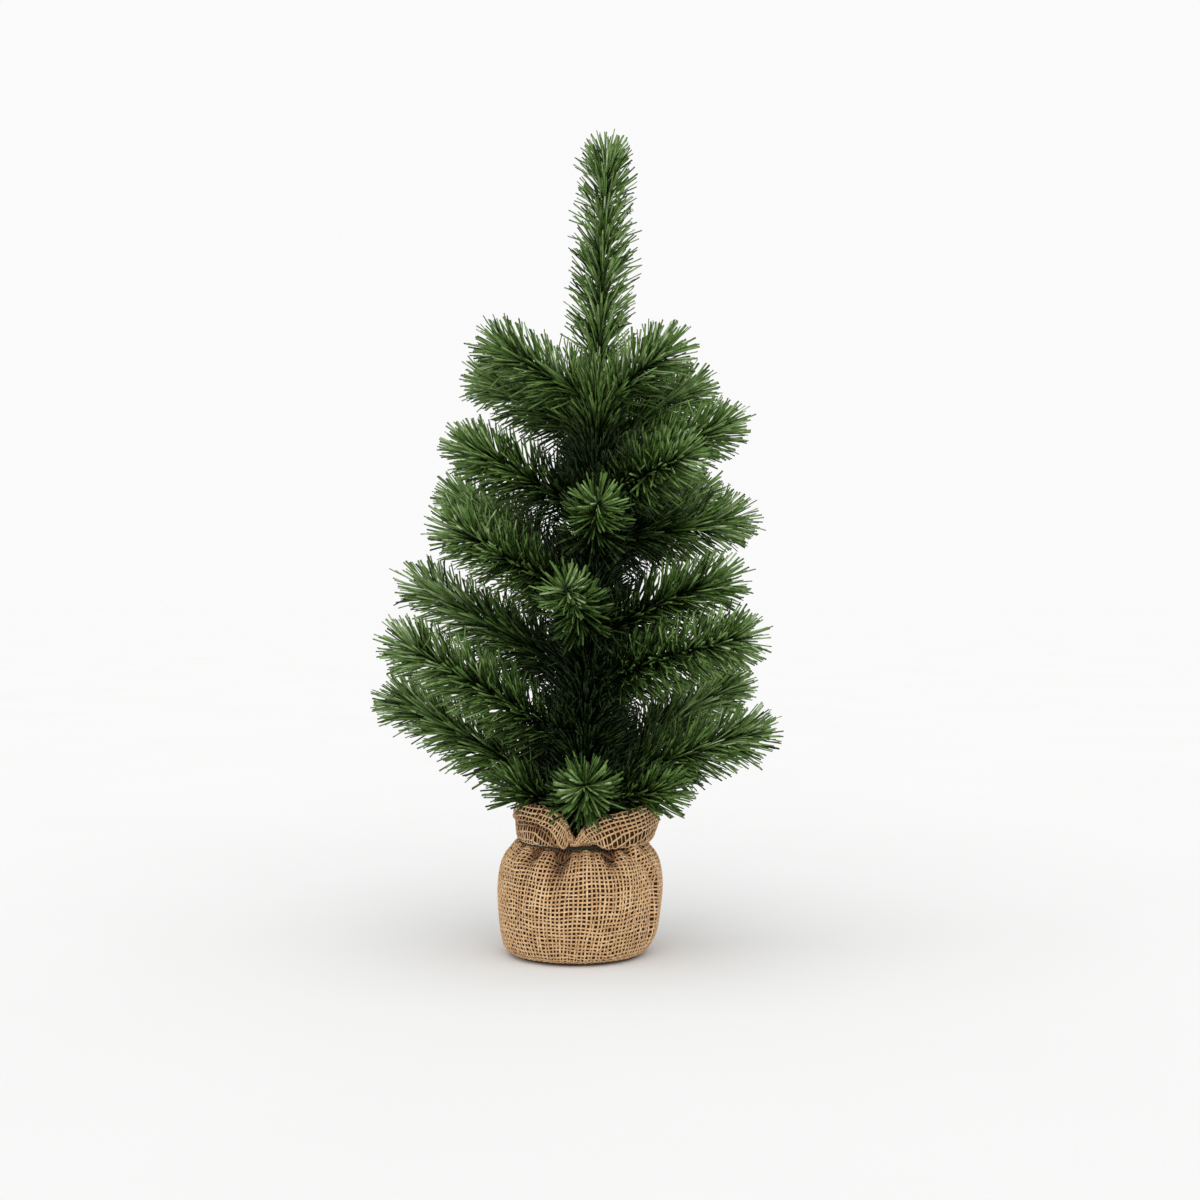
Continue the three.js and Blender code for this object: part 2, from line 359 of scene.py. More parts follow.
def steel_material():
    nodes = Nodes("drawn_steel", 0.4, Metallic=1.0)
    scratches = nodes.noise(300, 4)
    nodes.link(nodes.ramp(scratches, [(0.3, (0.3, 0.3, 0.29)), (0.7, (0.48, 0.47, 0.45))]), "Base Color")
    nodes.link(nodes.remap(scratches, 0.3, 0.7, 0.32, 0.5), "Roughness")
    return nodes.material


def twine_material():
    nodes = Nodes("green_twine", 0.8, Sheen_Weight=0.2)
    fibres = nodes.noise(1500, 4)
    nodes.link(nodes.ramp(fibres, [(0.3, (0.006, 0.022, 0.006)), (0.7, (0.022, 0.055, 0.018))]), "Base Color")
    nodes.bump(fibres, 0.0002)
    return nodes.material


def pot_material():
    nodes = Nodes("brown_pot_plastic", 0.55)
    grain = nodes.noise(180, 4)
    nodes.link(nodes.ramp(grain, [(0.3, (0.050, 0.019, 0.005)), (0.7, (0.080, 0.032, 0.009))]), "Base Color")
    nodes.link(nodes.remap(grain, 0.3, 0.7, 0.45, 0.65), "Roughness")
    nodes.bump(nodes.noise(700, 2), 0.0001)
    return nodes.material


def shade_lining_material():
    # Painted shade: a near-black brown for the sheet that stands in for the shadow behind the weave.
    nodes = Nodes("shade_lining_film", 0.7, Specular_IOR_Level=0.2)
    creases = nodes.noise(120, 4)
    brown = nodes.ramp(creases, [(0.3, (0.035, 0.012, 0.001)), (0.7, (0.070, 0.027, 0.004))])
    nodes.link(brown, "Base Color")
    nodes.link(nodes.remap(creases, 0.3, 0.7, 0.6, 0.8), "Roughness")
    nodes.bump(nodes.noise(300, 3), 0.0004)
    return nodes.material


def cement_material():
    nodes = Nodes("cast_cement", 0.93)
    sand = nodes.noise(900, 5, 0.7)
    stains = nodes.noise(60, 4)
    grey = nodes.ramp(stains, [(0.3, (0.30, 0.285, 0.255)), (0.7, (0.45, 0.43, 0.39))])
    specks = nodes.ramp(sand, [(0.35, (0.6, 0.6, 0.6)), (0.55, (1, 1, 1))])
    nodes.link(nodes.mix(1.0, grey, specks, "MULTIPLY"), "Base Color")
    nodes.bump(sand, 0.0008)
    return nodes.material


def felt_material():
    nodes = Nodes("brown_felt", 0.96, Sheen_Weight=0.3)
    fuzz = nodes.noise(1300, 5, 0.7)
    nodes.link(nodes.ramp(fuzz, [(0.3, (0.07, 0.035, 0.014)), (0.7, (0.15, 0.085, 0.04))]), "Base Color")
    nodes.bump(fuzz, 0.0004)
    return nodes.material


# ---------------------------------------------------------------- wires and needles

class Arc:
    """A CAD wire's centre line: a circular arc in an upright plane, or a straight line."""

    def __init__(self, body, outwards=None):
        joint = JOINTS[body]
        axis = joint["axis"]
        self.root = np.array(joint["pos_m"], float)
        self.outwards = np.array(outwards or (-axis[1], axis[0], 0), float)
        vertices = frame["nodes"][f"{body}_wire"].data.vertices
        points = np.unique(np.round([list(v.co) for v in vertices], 6), axis=0) - self.root
        flat = np.stack([points @ self.outwards, points[:, 2]], axis=1)
        reach = np.linalg.norm(flat, axis=1)
        tip = flat[reach > reach.max() - 1.5 * MM].mean(axis=0)
        chord = np.linalg.norm(tip)
        ahead = tip / chord
        along, aside = flat @ ahead, flat @ np.array([-ahead[1], ahead[0]])
        middle = np.abs(along - chord / 2) < 2 * MM
        sagitta = aside[middle].mean()
        self.turn = -4 * math.atan(2 * sagitta / chord) or 1e-6
        self.length = chord * (self.turn / 2) / math.sin(self.turn / 2)
        self.start = math.atan2(ahead[1], ahead[0]) - self.turn / 2
        self.sideways = np.cross(self.outwards, (0, 0, 1))

    def angle(self, along):
        return self.start + self.turn * np.asarray(along) / self.length

    def in_plane(self, level, upright):
        return np.multiply.outer(level, self.outwards) + np.multiply.outer(upright, (0, 0, 1.0))

    def point(self, along):
        curve = self.turn / self.length
        angle = self.angle(along)
        level = (np.sin(angle) - math.sin(self.start)) / curve
        upright = (math.cos(self.start) - np.cos(angle)) / curve
        return self.root + self.in_plane(level, upright)

    def tangent(self, along):
        angle = self.angle(along)
        return self.in_plane(np.cos(angle), np.sin(angle))

    def normal(self, along):
        angle = self.angle(along)
        return self.in_plane(-np.sin(angle), np.cos(angle))


def clear_of_collar(centres):
    """Which needles stay out of the sack: inside the open collar, above its rim or beside it."""
    points = np.concatenate([centres, 0.5 * (centres[:, 1:] + centres[:, :-1])], axis=1)
    offset = points[..., :2] - TRUNK.point_at(points[..., 2])[..., :2]
    radius = np.hypot(offset[..., 0], offset[..., 1])
    heading = np.arctan2(offset[..., 1], offset[..., 0])
    above_rim = SACK.neck + SACK.rim(heading) + 2 * MM
    in_neck, wider_at_rim, collar_height = 32 * MM, 12 * MM, 24 * MM
    beside_sack, below_neck = 62 * MM, 72 * MM
    inside = np.clip((points[..., 2] - SACK.neck) / collar_height, 0, 1) * wider_at_rim + in_neck
    hits = (points[..., 2] < above_rim) & (radius > inside) & (radius < beside_sack)
    return ~np.any(hits | (points[..., 2] < below_neck), axis=1)


def painted_crown_light(points):
    """Painted shade in the crown: a factor for the needles' colour, little near the trunk below the leader
    and 1 far from it or above.
    """
    from_trunk = np.linalg.norm(points[..., :2] - TRUNK.point_at(points[..., 2])[..., :2], axis=-1)
    share = np.clip((from_trunk - INNER_RADIUS) / (OUTER_RADIUS - INNER_RADIUS), 0, 1)
    share = share + (1 - share) * np.clip((points[..., 2] - CROWN_TOP) / CROWN_FADE + 1, 0, 1)
    return DEEP_SHADE + (1 - DEEP_SHADE) * share


def needle_mesh(rng, line, along, turn_angle, sweep, length, near_tip):
    """Needles that leave a line at the given places, angles round it and sweeps off it."""
    count = len(along)
    tangent, normal = line.tangent(along), line.normal(along)
    sideways = np.broadcast_to(line.sideways, normal.shape)
    cosine, sine = np.cos(turn_angle)[:, None], np.sin(turn_angle)[:, None]
    away = cosine * normal + sine * sideways
    beside = cosine * sideways - sine * normal
    curl = rng.normal(-0.1, 0.16, count)
    drift = rng.normal(0, 0.11, count)
    step = (length / NEEDLE_STEPS)[:, None]
    place = line.point(along)
    centres = [place]
    for i in range(NEEDLE_STEPS):
        share = (i + 0.5) / NEEDLE_STEPS
        lean = (sweep + curl * (share - 0.3))[:, None]
        wander = (drift * share)[:, None]
        ahead = np.cos(lean) * tangent + np.sin(lean) * away + wander * beside
        place = place + step * ahead / np.linalg.norm(ahead, axis=1, keepdims=True)
        centres.append(place)
    centres = np.stack(centres, axis=1)
    clear = clear_of_collar(centres)
    centres, beside, away, length = centres[clear], beside[clear], away[clear], length[clear]
    near_tip = near_tip[clear]
    count = len(centres)
    roll = rng.uniform(0, 2 * math.pi, count)[:, None, None]
    across = np.cos(roll) * beside[:, None] + np.sin(roll) * away[:, None]
    strip = np.array(NEEDLE_SECTION) * (NEEDLE_WIDTH, NEEDLE_DEPTH)
    size = rng.uniform(0.8, 1.15, count)[:, None] * np.array(NEEDLE_TAPER)
    section = strip * size[..., None, None]
    points, faces = closed_tubes(centres, np.broadcast_to(across, centres.shape), section)
    # Each needle's tone: random, a little lighter near a branch's tip, times the crown's painted shade.
    tone_times_painted_shade = (rng.normal(0.47, 0.25, count) + 0.08 * near_tip)[:, None] * painted_crown_light(centres)
    corners = len(NEEDLE_SECTION)
    shade = np.repeat(np.clip(tone_times_painted_shade, 0, 1).ravel(), corners)
    ring_share = np.linspace(0, 1, NEEDLE_STEPS + 1)
    share = np.tile(np.repeat(ring_share, corners), count)
    return points, faces, shade, share


def brush(rng, line, start, end, kind):
    """A brush of needles along a wire. None of them reaches far past its tip."""
    per_mm, sweeps, lengths, tip_share = kind
    lengths = np.array(lengths) * NEEDLE_LENGTH
    count = int((end - start) / MM * per_mm)
    along = start + (end - start) * rng.uniform(0, 1, count)
    near_tip = np.clip(1 - (end - along) / NEAR_TIP, 0, 1)
    along = along[rng.uniform(0, 1, count) > (1 - tip_share) * near_tip]
    count = len(along)
    turn_angle = along / TWIST_PITCH * 2 * math.pi + rng.integers(0, 2, count) * math.pi
    turn_angle = turn_angle + rng.normal(0, 0.9, count)
    share = (along - start) / (end - start)
    near_tip = np.clip(1 - (end - along) / NEAR_TIP, 0, 1)
    sweep = sweeps[0] + (sweeps[1] - sweeps[0]) * share - 0.22 * near_tip
    sweep = sweep + rng.normal(0, 0.16, count)
    stray = rng.uniform(0, 1, count) < 0.03
    sweep = np.where(stray, sweep + rng.uniform(0.2, 0.6, count), sweep)
    length = (lengths[0] + (lengths[1] - lengths[0]) * share) * rng.uniform(0.82, 1.06, count)
    aside = np.clip(length * np.sin(sweep) / TIP_RADIUS, 0, 0.95)
    furthest = end + PAST_THE_WIRE - TIP_LENGTH * (1 - np.sqrt(1 - aside ** 2))
    past = along + length * np.cos(sweep) - furthest - rng.normal(0, 2.5 * MM, count)
    along = along - np.clip(past, 0, None) * rng.uniform(0.7, 1.0, count)
    return needle_mesh(rng, line, along, turn_angle, sweep, length, near_tip)


def twisted_wire(line, length, strand, pitch):
    """Two strands wound round each other along a line."""
    rings = int(length / (0.9 * MM))
    along = np.linspace(0, length, rings)
    twist = along / pitch * 2 * math.pi
    parts = []
    for offset in (0, math.pi):
        side = np.cos(twist + offset)[:, None] * line.normal(along)
        side = side + np.sin(twist + offset)[:, None] * line.sideways
        centres = (line.point(along) + 0.5 * strand * side)[None]
        parts.append(closed_tubes(centres, side[None], ellipse(strand, strand, 6)))
    return joined(parts)


def build_branch(body, number, needles, wire):
    line = Arc(body)
    rng = np.random.default_rng(100 + number)
    points_forward = line.outwards[1] < -0.9
    kind = FORWARD_BRUSH if points_forward else SIDE_BRUSH
    points, faces, shade, share = brush(rng, line, BRANCH_BARE, line.length, kind)
    bush = new_piece(f"{body}_bush", points, faces, needles, "needles", shade=shade, along=share)
    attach(bush, body)
    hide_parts(f"{body}_needles")
    points, faces = twisted_wire(line, line.length, BRANCH_STRAND, BRANCH_TWIST)
    strands = new_piece(f"{body}_twisted_wire", points, faces, wire, "branch_wire")
    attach(strands, body)
    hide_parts(f"{body}_wire")


def build_leader(needles, wire):
    line = Arc("leader", outwards=(1, 0, 0))
    rng = np.random.default_rng(90)
    points, faces, shade, share = brush(rng, line, -LEADER_BELOW, line.length, LEADER_BRUSH)
    bush = new_piece("leader_bush", points, faces, needles, "needles", shade=shade, along=share)
    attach(bush, "leader")
    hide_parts("leader_needles")
    points, faces = twisted_wire(line, line.length, LEADER_STRAND, LEADER_TWIST)
    strands = new_piece("leader_twisted_wire", points, faces, wire, "branch_wire")
    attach(strands, "leader")
    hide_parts("leader_wire")


class Trunk:
    """The trunk's straight centre line, from the ends of its tape."""

    def __init__(self):
        low, high = (np.array(corner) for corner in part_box("trunk_tape"))
        self.radius = (high[1] - low[1]) / 2
        self.foot = np.array([low[0] + self.radius, 0, low[2]])
        self.top = np.array([high[0] - self.radius, 0, high[2]])
        self.length = np.linalg.norm(self.top - self.foot)
        self.ahead = (self.top - self.foot) / self.length
        self.sideways = np.array([0.0, 1.0, 0.0])
        self.aside = np.cross(self.sideways, self.ahead)

    def point(self, along):
        return self.foot + np.multiply.outer(np.asarray(along), self.ahead)

    def point_at(self, height):
        """The point of the centre line, carried on up through the leader, at a height."""
        return self.point((height - self.foot[2]) / self.ahead[2])

    def tangent(self, along):
        return np.broadcast_to(self.ahead, (len(along), 3))

    def normal(self, along):
        return np.broadcast_to(self.aside, (len(along), 3))


def build_trunk_needles(trunk, needles):
    """Needles on the trunk itself, between the branch roots."""
    rng = np.random.default_rng(80)
    points, faces, shade, share = brush(rng, trunk, TRUNK_BARE, trunk.length, TRUNK_BRUSH)
    bush = new_piece("trunk_bush", points, faces, needles, "needles", shade=shade, along=share)
    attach(bush, ROOT_BODY)


def build_trunk_tape(trunk, tape):
    """Tape wound up the rod: each turn overlaps the last one in a low step."""
    sides = 24
    rows = int(trunk.length / (0.8 * MM))
    along = np.linspace(0, trunk.length, rows)
    angles = np.arange(sides) / sides * 2 * math.pi
    pitch = 11 * MM
    phase = along[:, None] / pitch - angles[None] / (2 * math.pi)
    step = phase - np.floor(phase)
    radius = trunk.radius - 0.5 * MM + 0.5 * MM * step
    ring = np.cos(angles)[None, :, None] * trunk.aside + np.sin(angles)[None, :, None] * trunk.sideways
    outside = trunk.point(along)[:, None] + radius[..., None] * ring
    bore = trunk.radius - 1.1 * MM
    inside = trunk.point(along[[-1, 0]])[:, None] + bore * ring
    rows_all = np.concatenate([outside, inside, outside[:1]])
    points, faces = surface_grid(rows_all)
    faces = [faces[0][:, ::-1]]
    piece = new_piece("trunk_wound_tape", points, faces, tape, "green_tape")
    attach(piece, ROOT_BODY)
    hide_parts("trunk_tape")


# ---------------------------------------------------------------- burlap sack

class Cloth:
    """The burlap's middle surface: point(v, h) for a place v along the cloth, from under the
    pot to the end of the hem, and a heading h."""

    NOTCH = math.radians(265)
    COLLAR = 29 * MM
    HEM = 24 * MM
    ROLL = 1.4 * MM
    LEFT_OF_TRUNK = 0.8 * MM
    # heading, half width and depth of each pleat at the neck, then how far down it runs
    PLEATS = [
        (12, 6, 3.0, 14), (36, 5, 4.0, 20), (60, 6, 3.2, 16), (86, 5, 4.5, 24),
        (110, 6, 3.5, 14), (134, 5, 4.0, 20), (158, 7, 3.0, 16), (184, 5, 4.2, 20),
        (208, 5, 3.4, 15), (229, 9, 8.0, 19), (242, 4, 2.5, 12), (255, 9, 10.0, 27),
        (270, 4, 3.0, 12), (281, 4, 3.5, 12), (296, 9, 8.5, 20), (313, 5, 3.5, 14),
        (336, 5, 4.0, 20),
    ]

    def __init__(self):
        low, high = (np.array(corner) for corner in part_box("burlap_sack"))
        tie_low, tie_high = (np.array(corner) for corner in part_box("neck_tie"))
        disc_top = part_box("base_disc")[1][2]
        self.lean = TRUNK.ahead[0] / TRUNK.ahead[2]
        self.body_radius = (high[1] - low[1]) / 2
        self.neck = (tie_low[2] + tie_high[2]) / 2
        self.tie_radius = (tie_high[1] - tie_low[1]) / 2
        self.neck_radius = self.tie_radius - 3.8 * MM
        self.bottom = disc_top + 1.3 * MM
        self.profile = self.make_profile()
        run = np.gradient(self.profile, axis=0)
        run /= np.linalg.norm(run, axis=1, keepdims=True)
        self.outward = np.stack([run[:, 1], -run[:, 0]], axis=1)

    def make_profile(self):
        """Radius and height of the even cloth, from under the pot to the tied neck."""
        body, neck = self.body_radius, self.neck
        stations = [
            (0.50 * body, self.bottom),
            (0.74 * body, self.bottom),
            (0.83 * body, self.bottom + 0.8 * MM),
            (0.895 * body, 0.085 * neck),
            (0.945 * body, 0.2 * neck),
            (0.975 * body, 0.34 * neck),
            (1.0 * body, 0.56 * neck),
            (0.985 * body, 0.74 * neck),
            (0.935 * body, 0.86 * neck),
            (0.85 * body, 0.945 * neck),
            (self.tie_radius + 3.0 * MM, neck - 0.5 * MM),
            (self.tie_radius + 0.6 * MM, neck - 0.5 * MM),
            (self.tie_radius - 1.4 * MM, neck - 2.4 * MM),
            (self.neck_radius, neck - 1.2 * MM),
            (self.neck_radius, neck),
        ]
        return resampled(rounded(np.array(stations), 24), PROFILE_STEP)

    @property
    def neck_place(self):
        return (len(self.profile) - 1) * PROFILE_STEP

    def front_gaps(self, h):
        """Where the twine shows at the front, between gathers: near 1 there, 0 elsewhere."""
        left = np.exp(-((turned_by(h, math.radians(257)) / math.radians(6)) ** 4))
        right = np.exp(-((turned_by(h, math.radians(286)) / math.radians(12)) ** 4))
        return left + right

    def rim(self, h):
        """Height of the collar's rim above the neck: seen from the front, a V with straight
        sides, and level round the back."""
        across = np.cos(h) - math.cos(self.NOTCH)
        vee = np.where(across > 0, 24.5 * across, -34 * across)
        back = 1 / (1 + np.exp(-np.sin(h) / 0.12))
        level = 25 + 1.5 * np.sin(3 * h) + 1.0 * np.sin(5 * h + 1)
        return (3.0 + np.minimum(vee, 25) * (1 - back) + (level - 3.0) * back) * MM

    def flare(self, h):
        """How far the rim stands out from the neck, less at the notch."""
        notch = np.exp(-((turned_by(h, self.NOTCH) / math.radians(26)) ** 2))
        return (12.0 + 4.5 * np.cos(h) - 3.5 * notch) * MM

    def pleats(self, h, below):
        """Depth of the gathers at a heading, at a distance below or above the neck."""
        push = np.zeros(np.broadcast(h, below).shape)
        for heading, width, depth, run in self.PLEATS:
            gap = turned_by(h, math.radians(heading))
            reach = np.where(below > 0, run * MM, 6 * MM)
            fade = np.exp(-np.abs(below / reach) ** 2.5)
            narrow = math.radians(width) * (1 - 0.35 * np.clip(below / (run * MM), 0, 1))
            push += depth * MM * fade * np.exp(-((gap / narrow) ** 2))
        return push

    def fold(self, h, height):
        """An upright overlap at the front right: the cloth steps outwards along a line."""
        share = np.clip(height / self.neck, 0, 1)
        line = math.radians(-22) - math.radians(24) * np.clip((share - 0.62) / 0.38, 0, 1) ** 1.5
        gap = turned_by(h, line)
        step = 1 / (1 + np.exp(-gap / math.radians(0.8)))
        back = np.exp(-np.clip(gap, 0, None) / math.radians(20))
        groove = 1.7 * np.exp(-((gap + math.radians(2.8)) / math.radians(3.2)) ** 2)
        fade = np.clip(height / (18 * MM), 0.15, 1)
        return (2.4 * step * back - groove) * MM * fade

    def body_point(self, v, h):
        place = np.clip(v / PROFILE_STEP, 0, len(self.profile) - 1)
        rows = np.arange(len(self.profile))
        radius = np.interp(place, rows, self.profile[:, 0])
        height = np.interp(place, rows, self.profile[:, 1])
        out = np.interp(place, rows, self.outward[:, 0])
        up = np.interp(place, rows, self.outward[:, 1])
        below = self.neck_place - v
        waves = 0.4 * np.sin(3 * h + 1.1) + 0.35 * np.sin(5 * h - 0.4 + 0.02 * below / MM)
        upright = np.clip((height - self.bottom) / (12 * MM), 0, 1)
        push = waves * MM * upright + self.fold(h, height) * upright * np.clip(below / (9 * MM), 0, 1)
        tucked = np.clip((below - 3 * MM) / (4 * MM), 0, 1)
        push = push - self.pleats(h, below - 5 * MM) * tucked
        return radius + push * out, height + push * np.clip(up, 0, 1)

    def collar_point(self, v, h):
        """Above the neck: out over the twine, up to the rim, then turned in and down inside.
        Rows run level with the rim, so the lowest ones end in the neck near the notch."""
        from_rim = v - self.neck_place - self.COLLAR
        rim, flare = self.rim(h), self.flare(h)
        path = np.hypot(rim, flare)
        past = np.clip(path + from_rim, 0, path)
        share = past / path
        puff = 1 - (1 - np.clip(share / 0.6, 0, 1)) ** 2
        ruffle = 1.0 * np.sin(4 * h + 0.7) + 0.7 * np.sin(7 * h - 1.0) + 0.4 * np.sin(11 * h)
        radius = self.neck_radius + flare * puff + ruffle * MM * share
        radius = radius - self.pleats(h, -past) * 0.45
        radius = radius + self.cuff(h, -from_rim)
        radius = radius - 1.2 * MM * np.clip((share - 0.8) / 0.2, 0, 1) ** 2
        over_twine = 1.9 * MM * np.clip(past / (1.5 * MM), 0, 1)
        droop = 6.2 * MM * np.exp(-(((past - 8.5 * MM) / (4.2 * MM)) ** 2))
        droop = droop * (1 - self.front_gaps(h)) * np.clip((rim - 4 * MM) / (8 * MM), 0, 1)
        height = self.neck + over_twine + (rim - over_twine) * share ** 1.25 - droop
        inside = np.clip(from_rim, 0, None)
        turn = np.clip(inside / self.ROLL, 0, math.pi)
        down = np.clip(inside - self.ROLL * math.pi, 0, None)
        down = 0.85 * rim * (1 - np.exp(-down / (0.85 * rim)))
        radius = radius - self.ROLL * (1 - np.cos(turn)) - down * flare / np.maximum(rim, 8 * MM)
        height = height + self.ROLL * np.sin(turn) - down
        hidden = np.clip(-(path + from_rim), 0, None)
        return radius - 0.1 * hidden, height

    def cuff(self, h, below_rim):
        """On the left the hem is folded outwards: a band along the rim stands proud."""
        step = 1 / (1 + np.exp((below_rim - 9.5 * MM) / (0.4 * MM)))
        lip = np.exp(-((below_rim - 8.3 * MM) / (1.5 * MM)) ** 2)
        return self.left_flap(h) * (3.2 * step + 1.3 * lip - 1.8) * MM

    def left_flap(self, h):
        return np.exp(-((turned_by(h, math.radians(222)) / math.radians(44)) ** 4))

    def point(self, v, h):
        body_radius, body_height = self.body_point(v, h)
        collar_radius, collar_height = self.collar_point(v, h)
        above = v > self.neck_place
        radius = np.where(above, collar_radius, body_radius)
        height = np.where(above, collar_height, body_height)
        past = np.clip((v - self.neck_place) / self.COLLAR, 0, 1)
        gap = turned_by(h, self.NOTCH)
        shear = math.radians(24) * np.sign(gap) * np.exp(-(((np.abs(gap) - 0.7) / 0.5) ** 2))
        turned = h - shear * past
        x = radius * np.cos(turned) + self.lean * height - self.LEFT_OF_TRUNK
        return np.stack(np.broadcast_arrays(x, radius * np.sin(turned), height), axis=-1)

    def normal(self, v, h):
        step = 0.4 * MM
        up = self.point(v + step, h) - self.point(v - step, h)
        turn = self.point(v, h + 0.006) - self.point(v, h - 0.006)
        return unit(np.cross(turn, up))

    def painted_cloth_shadow(self, v, h):
        """Painted shade on the cloth, from how deep in a gather a place is: 0 on the open cloth, 1 in the
        deepest pocket; also on the turned-in hem and in the recess under the left cuff.
        """
        below = self.neck_place - v
        pocket_shadow = np.where(below > 0, self.pleats(h, below - 5 * MM) / (7 * MM), 0)
        past_rim = v - self.neck_place - self.COLLAR
        turned_in_shadow = np.clip(past_rim / (4 * MM), 0, 1)
        cuff_shadow = 0.7 * self.left_flap(h) * np.exp(-((past_rim + 12.5 * MM) / (2.5 * MM)) ** 2)
        return np.maximum(np.maximum(pocket_shadow, turned_in_shadow), cuff_shadow)


def turned_by(angle, start):
    """The signed turn from one heading to another, from -pi to pi."""
    return (angle - start + math.pi) % (2 * math.pi) - math.pi


def rounded(points, steps):
    """A Catmull-Rom curve through 2-D points."""
    padded = np.concatenate([[2 * points[0] - points[1]], points, [2 * points[-1] - points[-2]]])
    share = (np.arange(steps) / steps)[:, None]
    pieces = []
    for a, b, c, d in zip(padded, padded[1:], padded[2:], padded[3:]):
        pieces.append(
            0.5 * (2 * b + (c - a) * share + (2 * a - 5 * b + 4 * c - d) * share ** 2
                   + (3 * b - a - 3 * c + d) * share ** 3)
        )
    return np.concatenate(pieces + [points[-1:]])


def resampled(points, spacing):
    run = np.concatenate([[0], np.cumsum(np.linalg.norm(np.diff(points, axis=0), axis=1))])
    places = np.arange(0, run[-1], spacing)
    return np.stack([np.interp(places, run, points[:, i]) for i in (0, 1)], axis=1)


def woven_threads(rng, cloth, v, h, lift, pitch):
    """Capped threads through the grid of places v, h, each (threads, rings), lifted off the
    cloth's middle by lift. pitch is their spacing there, and a tight one makes thin threads."""
    normal = cloth.normal(v, h)
    centres = cloth.point(v, h) + normal * lift[..., None]
    slubs = 1 + 0.2 * smooth_noise(rng, v.shape, 7) + rng.normal(0, 0.07, (v.shape[0], 1))
    slubs = slubs * np.clip(pitch / THREAD_PITCH, 0.55, 1)
    section = ellipse(THREAD_WIDTH, THREAD_DEPTH, THREAD_SIDES) * slubs[..., None, None]
    tangent = np.gradient(centres, axis=1)
    points, faces = closed_tubes(centres, np.cross(normal, tangent), section)
    shade = rng.normal(0.58, 0.035, (v.shape[0], 1)) + 0.13 * smooth_noise(rng, v.shape, 8)
    # Painted shade: threads are darker in the gathers' pockets, on the turned-in hem and under the left cuff.
    shade = shade - 0.62 * np.clip(cloth.painted_cloth_shadow(v, h), 0, 1)
    return points, faces, np.repeat(shade.ravel(), THREAD_SIDES)


def build_sack(cloth, burlap):
    """Every thread of the burlap: warps run up the sack and wefts round it."""
    rng = np.random.default_rng(70)
    full = cloth.neck_place + cloth.COLLAR + cloth.HEM
    warps = int(round(2 * math.pi * cloth.body_radius / THREAD_PITCH / 2)) * 2
    wefts = int(full / THREAD_PITCH)

    rings = (wefts - 1) * RINGS_PER_CROSSING + 1
    row = np.linspace(0, wefts - 1, rings)
    v = (row[None] + 0.5) * full / wefts + 0 * np.arange(warps)[:, None]
    h = np.arange(warps)[:, None] / warps * 2 * math.pi + 0 * row[None]
    sway = 0.020 * np.sin(2 * h + 55 * v) + 0.014 * np.sin(5 * h - 90 * v + 1)
    lift = WEAVE_LIFT * np.cos(math.pi * (row[None] + np.arange(warps)[:, None]))
    pitch = 2 * math.pi * cloth.body_point(v, h)[0] / warps
    h = h + sway + 0.010 * smooth_noise(rng, h.shape, 12)
    warp = woven_threads(rng, cloth, v, h, lift, pitch)

    rings = warps * RINGS_PER_CROSSING + 1
    column = np.linspace(0, warps, rings)
    h = column[None] / warps * 2 * math.pi + 0 * np.arange(wefts)[:, None]
    v = (np.arange(wefts)[:, None] + 0.5) * full / wefts + 0 * column[None]
    sway = 0.9 * np.sin(3 * h + 60 * v) + 0.6 * np.sin(7 * h - 40 * v + 2)
    sway = sway + 0.3 * np.sin(16 * h + 150 * v)
    v = v + (sway + 0.45 * smooth_noise(rng, v.shape, 13)) * MM
    lift = -WEAVE_LIFT * np.cos(math.pi * (column[None] + np.arange(wefts)[:, None]))
    weft = woven_threads(rng, cloth, v, h, lift, THREAD_PITCH + 0 * v)

    points, faces = joined([warp[:2], weft[:2]])
    shade = np.concatenate([warp[2], weft[2]])
    weave = new_piece("burlap_weave", points, faces, burlap, "burlap", shade=shade)
    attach(weave, ROOT_BODY)
    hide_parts("burlap_sack")


def build_shade_lining(cloth, shade_film):
    """Thin brown sheet just inside the burlap, made dark as painted shade: it stands in for the shadow seen
    through the open weave.
    """
    places = np.arange(0, cloth.neck_place + cloth.COLLAR - MM, 1.5 * MM)[:, None]
    headings = (np.arange(240) / 240 * 2 * math.pi)[None]
    surface, normal = cloth.point(places, headings), cloth.normal(places, headings)
    outside = surface - LINING_GAP * normal
    inside = (outside - LINING_THICKNESS * normal)[::-1]
    points, faces = surface_grid(np.concatenate([outside, inside, outside[:1]]))
    shade_lining_piece = new_piece("shade_lining", points, faces, shade_film, "pot_plastic")
    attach(shade_lining_piece, ROOT_BODY)


def build_tie(cloth, twine):
    """Twine of two plies round the neck."""
    rings = 400
    angle = np.linspace(0, 2 * math.pi, rings)
    middle = cloth.tie_radius - 1.3 * MM
    outward = np.stack([np.cos(angle), np.sin(angle), 0 * angle], axis=1)
    upward = np.array([0, 0, 1.0])
    centre = middle * outward + cloth.neck * upward + [cloth.lean * cloth.neck, 0, 0]
    parts = []
    for offset in (0, math.pi):
        twist = 38 * angle + offset
        side = np.cos(twist)[:, None] * outward + np.sin(twist)[:, None] * upward
        centres = (centre + 0.6 * MM * side)[None]
        parts.append(closed_tubes(centres, side[None], ellipse(1.35 * MM, 1.35 * MM, 7)))
    points, faces = joined(parts)
    piece = new_piece("neck_twine", points, faces, twine, "twine")
    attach(piece, ROOT_BODY)
    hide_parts("neck_tie")


# ---------------------------------------------------------------- pot, weight and disc

